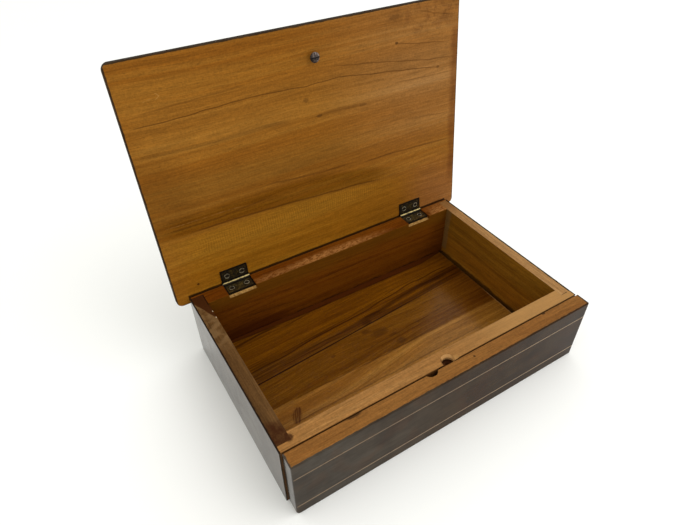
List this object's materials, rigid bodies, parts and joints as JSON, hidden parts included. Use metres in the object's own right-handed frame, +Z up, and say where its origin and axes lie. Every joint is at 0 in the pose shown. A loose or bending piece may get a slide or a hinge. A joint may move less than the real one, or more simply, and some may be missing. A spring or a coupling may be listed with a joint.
{
  "type": "hinged box",
  "caption": "Small wooden box with a butt-hinged lid and a secret lock: the front slides sideways on a dovetail key and hooks over a screw in the lid.",
  "frame": {"origin": "middle of the flat underside of the carcass, which is the face the box stands on", "axes": "+X to the right along the box's long front, +Y from the front to the hinged back, +Z up"},
  "size_m": [0.1572, 0.1137, 0.1336],
  "materials": {
    "case_wood": "satin, stained and worn",
    "back_wood": "satin, stained and worn",
    "floor_wood": "satin, stained and worn",
    "lid_wood": "satin, oiled",
    "front_wood": "dark polish, worn",
    "stringing_wood": "satin",
    "key_wood": "bare",
    "pin_wood": "bare",
    "steel": "worn bright",
    "hinge_brass": "tarnished",
    "hinge_screw_brass": "tarnished",
    "pin_steel": "dull"
  },
  "bodies": {
    "carcass": {"front_wall": "case_wood", "back_wall": "back_wood", "left_wall": "case_wood", "right_wall": "case_wood", "floor_board_front": "floor_wood", "floor_board_rear": "floor_wood", "slide_stop_pin": "pin_wood", "left_hinge_body_leaf": "hinge_brass", "right_hinge_body_leaf": "hinge_brass", "left_hinge_pin": "pin_steel", "right_hinge_pin": "pin_steel", "left_hinge_body_screws": "hinge_screw_brass", "right_hinge_body_screws": "hinge_screw_brass"},
    "lid": {"lid_board": "lid_wood", "left_hinge_lid_leaf": "hinge_brass", "right_hinge_lid_leaf": "hinge_brass", "left_hinge_lid_screws": "hinge_screw_brass", "right_hinge_lid_screws": "hinge_screw_brass", "catch_screw": "steel"},
    "sliding_front": {"front_panel": "front_wood", "slide_key": "key_wood", "upper_stringing": "stringing_wood", "lower_stringing": "stringing_wood"}
  },
  "joints": [
    {"name": "lid_hinge", "type": "hinge", "parent": "carcass", "child": "lid", "pos_m": [0, 0.0448, 0.03305], "axis": [-1, 0, 0], "range_deg": [-97.52, 0]},
    {"name": "front_slide", "type": "slide", "parent": "carcass", "child": "sliding_front", "axis": [1, 0, 0], "range_m": [-0.0008, 0.0092]}
  ]
}
